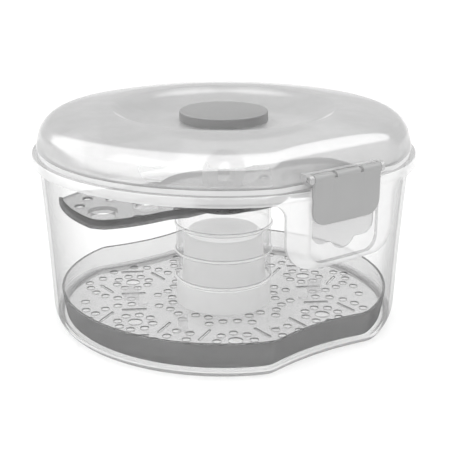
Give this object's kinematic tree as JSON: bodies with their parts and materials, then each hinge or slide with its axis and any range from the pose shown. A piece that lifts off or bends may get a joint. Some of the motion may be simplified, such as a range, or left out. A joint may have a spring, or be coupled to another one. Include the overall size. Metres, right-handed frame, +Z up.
{
  "type": "bottle sterilizer",
  "caption": "Round see-through tub for steam or cold-water sterilising, with a domed lid, a clip on each side and a lift-out drained rack with a centre column.",
  "frame": {"origin": "middle of the tub's underside, on the surface that it stands on", "axes": "+Z up; the clips are on the X axis; the front is towards -Y"},
  "size_m": [0.2778, 0.2876, 0.1608],
  "materials": {
    "clear_plastic": "clear, glossy",
    "frosted_plastic": "clear with a faint milky haze",
    "smoke_plastic": "see-through smoke grey, glossy",
    "grey_plastic": "satin grey",
    "pale_grey_plastic": "satin pale grey, slightly see-through",
    "milky_plastic": "milky, translucent"
  },
  "bodies": {
    "tub": {"container": "clear_plastic"},
    "rack": {"lower_tray": "smoke_plastic", "centre_cone": "milky_plastic", "centre_sleeve": "clear_plastic"},
    "top_tray": {"upper_tray": "smoke_plastic", "tray_handle": "pale_grey_plastic"},
    "cover": {"lid": "frosted_plastic", "lid_knob": "grey_plastic"},
    "right_clip": {"clip_right": "grey_plastic"},
    "left_clip": {"clip_left": "grey_plastic"}
  },
  "joints": [
    {"name": "rack_lift", "type": "slide", "parent": "tub", "child": "rack", "axis": [0, 0, 1], "range_m": [0, 0.15]},
    {"name": "top_tray_lift", "type": "slide", "parent": "rack", "child": "top_tray", "axis": [0, 0, 1], "range_m": [0, 0.05]},
    {"name": "lid_lift", "type": "slide", "parent": "top_tray", "child": "cover", "axis": [0, 0, 1], "range_m": [0, 0.1]},
    {"name": "right_clip_swing", "type": "hinge", "parent": "cover", "child": "right_clip", "pos_m": [0.1358, 0, 0.1383], "axis": [0, -1, 0], "range_deg": [0, 110]},
    {"name": "left_clip_swing", "type": "hinge", "parent": "cover", "child": "left_clip", "pos_m": [-0.1358, 0, 0.1383], "axis": [0, 1, 0], "range_deg": [0, 110]}
  ]
}
